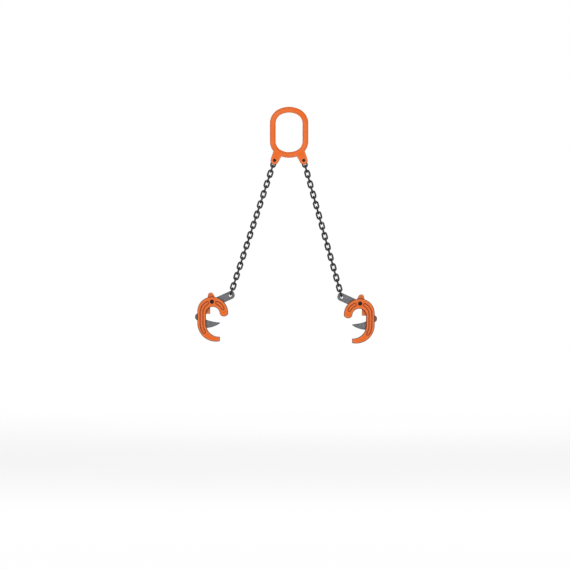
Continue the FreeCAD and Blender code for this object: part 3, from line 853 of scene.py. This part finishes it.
class BuildChains(bpy.types.Operator):
    """Builds both chain legs, link by link, each pair on the body that carries it"""

    bl_idname = "object.clamp_chains"
    bl_label = "Chain Legs"

    def execute(self, context):
        sizes = context.scene.clamp_chain
        ear_pin = context.scene.clamp_master.pin
        span = sizes.pitch + sizes.bar + sizes.play
        for side in SIDES:
            start = joint_at(side + "_leg_swing")
            end = joint_at(side + "_lever_swing")
            up = (start - end).normalized()
            across = Vector((0, 1, 0)).cross(up)
            leg = Matrix.Translation(start) @ Matrix((across, (0, 1, 0), up)).transposed().to_4x4()
            pairs = sum(1 for body in BODIES if body.startswith(side + "_links_"))
            last = 2 * pairs - 1
            lowest = -(start - end).length
            for pair in range(pairs):
                bm = bmesh.new()
                marks = [bm.verts.layers.float.new(mark) for mark in CHAIN_MARKS]
                for number in (2 * pair, 2 * pair + 1):
                    top = lowest + span + (last - number) * sizes.pitch
                    bottom = top - span
                    if number == 0:
                        top = (ear_pin + sizes.bar) / 2 + sizes.play
                        bottom = lowest + span + (last - 1) * sizes.pitch - sizes.bar - sizes.play
                    turn = Matrix.Rotation(math.radians(90 * (number % 2)), 4, "Z")
                    chain_link(bm, sizes, top, bottom, leg @ turn, marks)
                name = "%s_chain_links_%02d" % (side, pair + 1)
                links = shaded(piece_from(name + "_welded", bm), 60)
                dress(links, name, "chain_steel")
        return {"FINISHED"}


# Clamp body


class BodyPlan:
    """The centres that the clamp body's outlines share, from its pivot."""

    def __init__(self, sizes):
        s = sizes
        self.sizes = s
        self.back = -s.shoulder_radius
        self.shoulder = (0.0, s.top - s.shoulder_radius)
        self.crown = (0.0, s.top - s.crown_radius)
        self.mouth = (self.back + s.limb_width + s.mouth_radius, s.top - s.crown_depth - s.mouth_radius)
        self.heel = (self.back + s.heel_radius, self.shoulder[1] - s.back_straight)
        bottom = self.heel[1] - s.heel_radius
        inner_x = self.back + s.limb_width + s.heel_inner_radius
        self.heel_inner = (inner_x, bottom + s.heel_depth + s.heel_inner_radius)
        self.limb = self.back + s.limb_width / 2

    def outline(self, inset):
        """The body from its jaw round the back to its heel, drawn in by inset."""
        s = self.sizes
        jaw = s.crown_radius - inset
        jaw_low = math.degrees(math.asin((self.mouth[1] - self.crown[1]) / jaw))
        heel = s.heel_radius - inset
        heel_inner = s.heel_inner_radius + inset
        heel_x = s.heel_reach - inset
        heel_end = -math.degrees(math.acos((heel_x - self.heel[0]) / heel))
        inner_end = -math.degrees(math.acos((heel_x - self.heel_inner[0]) / heel_inner))
        mouth = s.mouth_radius + inset
        outer = on(self.crown, jaw, jaw_low)
        inner = Vector((self.mouth[0] + mouth, self.mouth[1]))
        return (
            arc(self.crown, jaw, jaw_low, 90, 28)
            + arc(self.shoulder, s.shoulder_radius - inset, 90, 180, 32)
            + arc(self.heel, heel, 180, 360 + heel_end, 32)
            + [on(self.heel_inner, heel_inner, inner_end)]
            + arc(self.heel_inner, heel_inner, 360 + inner_end, 180, 24)
            + arc(self.mouth, mouth, 180, 0, 48)
            + bow(inner, outer, s.nose_drop - inset)
        )

    def back_pocket(self, width):
        """The long pocket that follows the back limb."""
        s = self.sizes
        r = width / 2
        top_end = math.degrees(s.back_pocket_top)
        low_end = math.degrees(s.back_pocket_end)
        top = midway(self.shoulder, self.mouth)
        top_r = (s.shoulder_radius + s.mouth_radius) / 2
        low = midway(self.heel, self.heel_inner)
        low_r = (s.heel_radius + s.heel_inner_radius) / 2
        return (
            [Vector((self.limb - r, top.y)), Vector((self.limb - r, low.y))]
            + arc(low, low_r + r, 180, low_end, 10)
            + arc(on(low, low_r, low_end), r, low_end, low_end + 180, 12)
            + arc(low, low_r - r, low_end, 180, 10)
            + [Vector((self.limb + r, top.y))]
            + arc(top, top_r - r, 180, top_end, 14)
            + arc(on(top, top_r, top_end), r, top_end - 180, top_end, 12)
            + arc(top, top_r + r, top_end, 180, 14)[:-1]
        )

    def jaw_pocket(self, width):
        """The short pocket between the pivot and the jaw."""
        s = self.sizes
        r = width / 2
        low = math.degrees(s.jaw_pocket_low)
        high = math.degrees(s.jaw_pocket_high)
        centre = midway(self.crown, self.mouth)
        radius = (s.crown_radius + s.mouth_radius) / 2
        return (
            arc(centre, radius + r, low, high, 12)
            + arc(on(centre, radius, high), r, high, high + 180, 12)
            + arc(centre, radius - r, high, low, 12)
            + arc(on(centre, radius, low), r, low + 180, low + 360, 12)
        )


def rounded(radius, count=5):
    """A quarter round as pairs of inset and depth, from the face to the full outline."""
    return [(radius * (1 - math.sin(a)), radius * (1 - math.cos(a))) for a in quarter(count)]


def quarter(count):
    """The angles that divide a quarter turn."""
    return [math.pi / 2 * k / count for k in range(count + 1)]


def pocket_tool(name, draw, sizes, face):
    """The cutter of one pocket, with a rounded rim, drafted walls and a rounded floor."""
    width = sizes.pocket_width
    rim = sizes.pocket_rim
    root = sizes.pocket_root
    depth = sizes.pocket_depth
    sections = [(draw(width + 2 * rim), face - rim)]
    for a in quarter(4):
        sections.append((draw(width + 2 * rim * (1 - math.sin(a))), face + rim * (1 - math.cos(a))))
    floor = width - 2 * sizes.pocket_draft
    for a in quarter(4):
        sections.append((draw(floor - 2 * root * (1 - math.cos(a))), face + depth - root * (1 - math.sin(a))))
    return loft(name, sections)


class BuildCheeks(bpy.types.Operator):
    """Builds the two forged cheeks of each clamp body"""

    bl_idname = "object.clamp_cheeks"
    bl_label = "Cheeks"

    def execute(self, context):
        sizes = context.scene.clamp_body
        plan = BodyPlan(sizes)
        inner = -sizes.slot / 2
        face = inner - sizes.thickness
        sections = [(plan.outline(inset), face + depth) for inset, depth in rounded(sizes.edge, 6)]
        edge = reversed(rounded(sizes.inner_edge, 2))
        sections += [(plan.outline(inset), inner - depth) for inset, depth in edge]
        bore = context.scene.clamp_lever.pivot / 2
        lip = sizes.bore_chamfer
        mouth = bore + 2 * lip
        hole = [(mouth, face - lip), (bore, face + lip), (bore, inner - lip), (mouth, inner + lip)]
        for side in SIDES:
            for name in ("front", "rear"):
                node = "%s_%s_cheek" % (side, name)
                cheek = loft(node + "_forging", sections)
                tools = [
                    pocket_tool("back_pocket", plan.back_pocket, sizes, face),
                    pocket_tool("jaw_pocket", plan.jaw_pocket, sizes, face),
                    lathe("bore", hole),
                ]
                carved(cheek, tools)
                if name == "rear":
                    mirror(cheek, (0, 1, 0))
                shaded(placed(cheek, side), 50)
                dress(cheek, node, "orange_paint", "rubbed_shaded_paint")
        return {"FINISHED"}


def softened(name, node, radius):
    """A copy of a frame node's solid with its hard edges rounded."""
    bm = bmesh.new()
    bm.from_mesh(frame["nodes"][node].data)
    bmesh.ops.remove_doubles(bm, verts=bm.verts, dist=SAME_POINT)
    bmesh.ops.dissolve_limit(bm, angle_limit=math.radians(1), verts=bm.verts, edges=bm.edges)
    piece = piece_from(name, bm)
    bevel = piece.modifiers.new("edges", "BEVEL")
    bevel.width = radius
    bevel.segments = 3
    bevel.limit_method = "ANGLE"
    bevel.angle_limit = math.radians(SHARP)
    return shaded(applied(piece), 40)


class BuildSpacers(bpy.types.Operator):
    """Builds the lug, the rim stop and the two spacers between the cheeks"""

    bl_idname = "object.clamp_spacers"
    bl_label = "Lug, Stop and Spacers"

    def execute(self, context):
        edge = context.scene.clamp_body.block_edge
        # The rim stops' darker tan is worn primer and also painted shade between the cheeks.
        finishes = {
            "top_lug": "scuffed_paint",
            "rim_stop": "worn_shaded_paint",
            "jaw_block": "rubbed_shaded_paint",
            "heel_block": "rubbed_shaded_paint",
        }
        for side in SIDES:
            for kind, finish in finishes.items():
                node = side + "_" + kind
                block = softened(node + "_forging", node, edge)
                dress(block, node, "orange_paint", finish)
        return {"FINISHED"}


# Lever

# Angle at which the tail starts, over the pivot
TAIL_START = 85
# Where the thinning of an arm turns, as shares of its length and of its step
KNEE_ALONG = 0.7
KNEE_UP = 0.18


def arm_outline(s):
    """The straight arm from the hub to the chain eye."""
    slope = math.degrees(s.arm_slope)
    turn = Matrix.Rotation(s.arm_slope, 2)
    eye = Vector((s.eye_x, s.eye_z))
    half = s.arm_width / 2
    inner = -eye.length

    def at(along, across):
        return eye + turn @ Vector((along, across))

    points = [at(inner, half), at(inner, -half)]
    points += arc(at(s.eye_reach - half, 0.0), half, slope - 90, slope, 14)
    corner = at(s.eye_reach - s.eye_corner, half - s.eye_corner)
    return points + arc(corner, s.eye_corner, slope, slope + 90, 14)


def tail_outline(s, plan):
    """The curved tail inside the back limb and, below it, the toe."""
    centre = midway(plan.shoulder, plan.mouth)
    outer = s.tail_radius + s.tail_width / 2
    inner = s.tail_radius - s.tail_width / 2
    inner_x = centre.x - inner
    bulge = Vector((centre.x - outer, s.bulge_level))
    keel = Vector((bulge.x + s.keel_run, s.keel_level))
    tip = Vector((s.toe_reach, s.toe_level))
    under_tip = tip - Vector((0, s.toe_blunt))
    throat = Vector((inner_x + s.throat_run, s.throat_level))
    throat_end = Vector((inner_x, s.throat_top))
    return (
        arc(centre, outer, TAIL_START, 180, 24)
        + [bulge]
        + bow(bulge, keel, s.heel_bow)
        + bow(keel, under_tip, s.belly_bow)
        + [tip]
        + bow(tip, throat, s.ridge_bow)
        + bow(throat, throat_end, s.throat_bow)
        + [Vector((inner_x, centre.y))]
        + arc(centre, inner, 180, TAIL_START, 24)
    )


def lever_tools(s):
    """What is cut from a lever: the thinning of its eye end, the flared eye and the pivot's bore."""
    tools = []
    eye = Vector((s.eye_x, s.eye_z))
    step = (s.thickness - s.eye_thickness) / 2
    far = 2 * s.eye_reach
    thin = s.eye_thickness / 2
    full = s.thickness / 2
    start = -s.eye_thin_length - s.eye_taper
    profile = [
        (start, full),
        (start + s.eye_taper * KNEE_ALONG, thin + step * KNEE_UP),
        (-s.eye_thin_length, thin),
        (far, thin),
        (far, full + step),
        (start, full + step),
    ]
    move = Matrix.Translation((eye.x, 0, eye.y)) @ Matrix.Rotation(-s.arm_slope, 4, "Y")
    for sign in (-1, 1):
        bm = bmesh.new()
        ends = (-s.arm_width, s.arm_width)
        bridge(bm, [[Vector((u, sign * y, v)) for u, y in profile] for v in ends], closed=False)
        tools.append(piece_from("thinning", bm, move))
    waist = s.eye_hole / 2
    half = [(waist + s.eye_flare, s.thickness)]
    for inset, depth in rounded(s.eye_flare):
        half.append((waist + inset, thin - depth))
    profile = [(r, -y) for r, y in half] + [(r, y) for r, y in reversed(half)]
    tools.append(lathe("eye", profile, eye, 40))
    bore = s.pivot / 2 + s.pivot_play
    tools.append(lathe("pivot_bore", [(bore, -s.thickness), (bore, s.thickness)]))
    return tools


class BuildLevers(bpy.types.Operator):
    """Builds the two forged levers with their chain eyes and toes"""

    bl_idname = "object.clamp_levers"
    bl_label = "Levers"

    def execute(self, context):
        sizes = context.scene.clamp_lever
        plan = BodyPlan(context.scene.clamp_body)
        half = sizes.thickness / 2
        outer = sizes.tail_radius + sizes.tail_width / 2
        bulge = (midway(plan.shoulder, plan.mouth).x - outer, sizes.bulge_level)
        outlines = [
            arm_outline(sizes),
            tail_outline(sizes, plan),
            arc((0, 0), sizes.hub_radius, 0, 360, 48),
            arc(bulge, sizes.bulge_radius, 0, 360, 48),
        ]
        for side in SIDES:
            parts = [loft("part", [(points, -half), (points, half)]) for points in outlines]
            lever = forged(side + "_lever_forging", parts, sizes.grain, sizes.rounding)
            carved(lever, lever_tools(sizes))
            shaded(placed(lever, side), 40)
            dress(lever, side + "_lever", "lever_steel")
        return {"FINISHED"}


# Pivot pins

# Half the gap at the foot of a split pin's eye, in degrees
EYE_GAP = 20


class BuildPivotPins(bpy.types.Operator):
    """Builds each pivot pin with its washer and split pin"""

    bl_idname = "object.clamp_pivot_pins"
    bl_label = "Pivot Pins"

    def execute(self, context):
        pins = context.scene.clamp_pins
        body = context.scene.clamp_body
        radius = context.scene.clamp_lever.pivot / 2
        face = body.slot / 2 + body.thickness
        split_y = face + pins.washer_thickness + pins.wire / 2
        turned = (radius, pins.head / 2, pins.head_height, pins.chamfer)
        for side in SIDES:
            pin = headed_pin(side + "_headed_pin", *turned, -face, split_y + pins.tail)
            dress(placed(pin, side), side + "_pivot_pin", "pin_steel")
            profile = self.washer_profile(pins, radius, face)
            washer = lathe(side + "_plain_washer", profile, closed=True)
            dress(shaded(placed(washer, side), 30), side + "_pin_washer", "pin_steel")
            split = self.split_pin(side, pins, radius, split_y)
            dress(shaded(placed(split, side), 60), side + "_split_pin", "pin_steel")
        return {"FINISHED"}

    def washer_profile(self, pins, radius, near):
        """The section of a plain washer behind the face at depth near."""
        far = near + pins.washer_thickness
        bore = radius + pins.washer_play
        outer = pins.washer / 2
        edge = pins.washer_chamfer
        front = [(bore, near), (outer - edge, near), (outer, near + edge)]
        return front + [(outer, far - edge), (outer - edge, far), (bore, far)]

    def split_pin(self, side, pins, radius, y):
        """A split pin of half-round wire: its eye above, two legs through the hole and bent apart below."""
        wire = pins.wire / 4
        reach = radius + pins.proud
        centre = (0.0, reach + pins.loop)
        loop = arc(centre, pins.loop - wire, 270 + EYE_GAP, 630 - EYE_GAP, 26)
        tip = Vector((math.sin(pins.spread), -math.cos(pins.spread))) * pins.leg
        right = [Vector((wire, z)) for z in (-reach, 0, reach - wire)]
        right.insert(0, right[0] + tip)
        left = [Vector((-p.x, p.y)) for p in reversed(right)]
        path = [Vector((p.x, y, p.y)) for p in right + loop[:-1] + left]
        bm = bmesh.new()
        tube(bm, path, [wire] * len(path), 14, closed=False)
        return piece_from(side + "_split_wire", bm)


# Stage


def on_rays(tree, *kinds):
    """One on the given kinds of ray, zero on others."""
    seen = 0.0
    for kind in kinds:
        seen = add_node(tree, "Math", (seen, add_node(tree, "LightPath", out=kind)), operation="MAXIMUM")
    return seen


def studio_floor(tones):
    """Matt white floor card."""
    # Pale and even, with the object's soft shadow. To the camera and in reflections it is seven tenths plain
    # white near its middle and all white from 6 m out, so that no line shows where the surroundings start.
    material, tree, place = new_material("Matt white floor card")
    reach = add_node(tree, "VectorMath", (place,), "Value", operation="LENGTH")
    white = add_node(tree, "MapRange", (reach, 0.6, 6.0, 0.7, 1.0), **SMOOTH)
    seen = on_rays(tree, "Is Camera Ray", "Is Glossy Ray")
    fade = add_node(tree, "Math", (white, seen), operation="MULTIPLY")
    specks = patches(tree, place, grain=3, detail=2.0, most=0.03)
    card = coats(tree, tones.floor, (specks, tones.floor_speck))
    paper = add_node(tree, "BsdfPrincipled", {"Base Color": card, "Roughness": 0.9, "IOR": 1.45})
    glow = add_node(tree, "Emission", {"Color": (1, 1, 1, 1), "Strength": 1.0})
    add_node(tree, "OutputMaterial", {"Surface": add_node(tree, "MixShader", (fade, paper, glow))})
    return material


class BuildStage(bpy.types.Operator):
    """Builds the floor, the lamps, the surroundings and the camera"""

    bl_idname = "object.clamp_stage"
    bl_label = "Studio"

    def execute(self, context):
        scene = context.scene
        sizes = scene.clamp_stage
        self.floor(sizes, scene.clamp_finish)
        self.lamps(scene, sizes)
        self.world(scene, sizes)
        self.camera(scene, sizes)
        scene.view_settings.view_transform = "Standard"
        return {"FINISHED"}

    def floor(self, sizes, tones):
        """A round floor far under the hook seat."""
        bm = bmesh.new()
        bmesh.ops.create_circle(bm, cap_ends=True, segments=96, radius=sizes.floor_radius)
        floor = piece_from("studio_floor", bm)
        floor.location.z = -sizes.floor_drop
        floor.data.materials.append(studio_floor(tones))

    def lamps(self, scene, sizes):
        """Three square soft lamps that point at the middle of the legs, with places and widths in metres."""
        middle = Vector((0.0, 0.0, -0.5))
        for name, at, width, power in (
            ("key", (-1.5, -4.6, 1.2), 2.4, sizes.key_power),
            ("fill", (2.3, -4.3, -0.2), 2.6, sizes.fill_power),
            ("back", (0.6, 4.6, 1.6), 2.4, sizes.back_power),
        ):
            data = bpy.data.lights.new(name, "AREA")
            data.shape = "SQUARE"
            data.size = width
            data.energy = power
            lamp = bpy.data.objects.new(name, data)
            lamp.location = at
            lamp.rotation_euler = (middle - Vector(at)).to_track_quat("-Z", "Y").to_euler()
            scene.collection.objects.link(lamp)

    def world(self, scene, sizes):
        """Even light from all sides, which the camera and mirrors see as plain white."""
        world = bpy.data.worlds.new("white studio")
        scene.world = world
        world.use_nodes = True
        tree = world.node_tree
        tree.nodes.clear()
        seen = on_rays(tree, "Is Camera Ray", "Is Glossy Ray", "Is Transmission Ray")
        strength = add_node(tree, "MapRange", (seen, 0.0, 1.0, sizes.ambient, 1.0), **SMOOTH)
        glow = add_node(tree, "Background", {"Color": (1, 1, 1, 1), "Strength": strength})
        add_node(tree, "OutputWorld", {"Surface": glow})

    def camera(self, scene, sizes):
        """A long lens from straight ahead, framed so that the hook seat falls on its pixel."""
        data = bpy.data.cameras.new("camera")
        data.lens = data.sensor_width * sizes.camera_distance / (IMAGE_SIDE * sizes.pixel)
        data.clip_end = 4 * sizes.camera_distance
        camera = bpy.data.objects.new("camera", data)
        x = (IMAGE_SIDE / 2 - sizes.origin_column) * sizes.pixel
        z = (sizes.origin_row - IMAGE_SIDE / 2) * sizes.pixel
        camera.location = (x, -sizes.camera_distance, z)
        camera.rotation_euler = (math.radians(90), 0, 0)
        scene.collection.objects.link(camera)
        scene.camera = camera


OPERATORS = (
    BuildMasterLink,
    BuildEarPins,
    BuildChains,
    BuildCheeks,
    BuildSpacers,
    BuildLevers,
    BuildPivotPins,
    BuildStage,
)


class ClampPanel(bpy.types.Panel):
    """Lists the clamp's builders and their sizes"""

    bl_idname = "VIEW3D_PT_drum_clamp"
    bl_label = "Drum Lifting Clamp"
    bl_space_type = "VIEW_3D"
    bl_region_type = "UI"
    bl_category = "Drum Clamp"

    def draw(self, context):
        for operator in OPERATORS:
            self.layout.operator(operator.bl_idname)
        for name, group in SETTINGS.items():
            column = self.layout.column(heading=group.__doc__)
            values = getattr(context.scene, name)
            for prop in group.__annotations__:
                column.prop(values, prop)


def register():
    for cls in (*SETTINGS.values(), *OPERATORS, ClampPanel):
        bpy.utils.register_class(cls)
    for name, group in SETTINGS.items():
        setattr(bpy.types.Scene, name, PointerProperty(type=group))


def unregister():
    for name in SETTINGS:
        delattr(bpy.types.Scene, name)
    for cls in reversed((*SETTINGS.values(), *OPERATORS, ClampPanel)):
        bpy.utils.unregister_class(cls)


def main():
    """Builds every piece and the studio, and writes the boxes of the frame and of the dressed part."""
    register()
    for operator in OPERATORS:
        group, name = operator.bl_idname.split(".")
        getattr(getattr(bpy.ops, group), name)()


if __name__ == "__main__":
    main()
